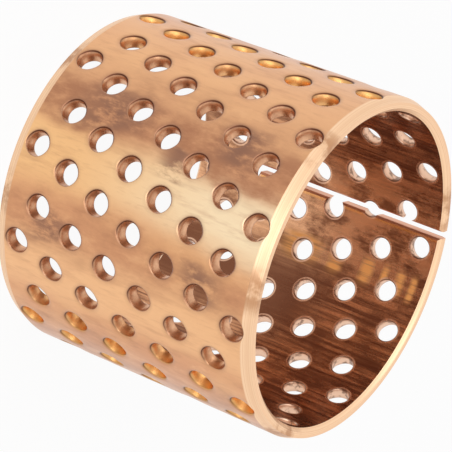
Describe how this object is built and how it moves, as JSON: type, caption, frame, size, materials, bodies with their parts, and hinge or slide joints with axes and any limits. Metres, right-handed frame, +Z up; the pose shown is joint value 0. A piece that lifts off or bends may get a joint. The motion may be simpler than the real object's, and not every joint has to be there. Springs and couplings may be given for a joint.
{
  "type": "wrapped bronze bushing with through holes",
  "caption": "Thin rolled bronze sleeve bearing with an open butt joint, chamfered ends and staggered rows of small holes through its wall.",
  "frame": {"origin": "centre of the lower end, on the axis of the bore, in the plane that the bushing stands on", "axes": "+Z up along the axis of the bore; +Y out through the butt joint; +X to the right of it"},
  "size_m": [0.065, 0.065, 0.057],
  "materials": {
    "bronze": "rolled and turned bronze, satin, with light stains"
  },
  "bodies": {
    "root": {"bushing": "bronze"}
  },
  "joints": []
}
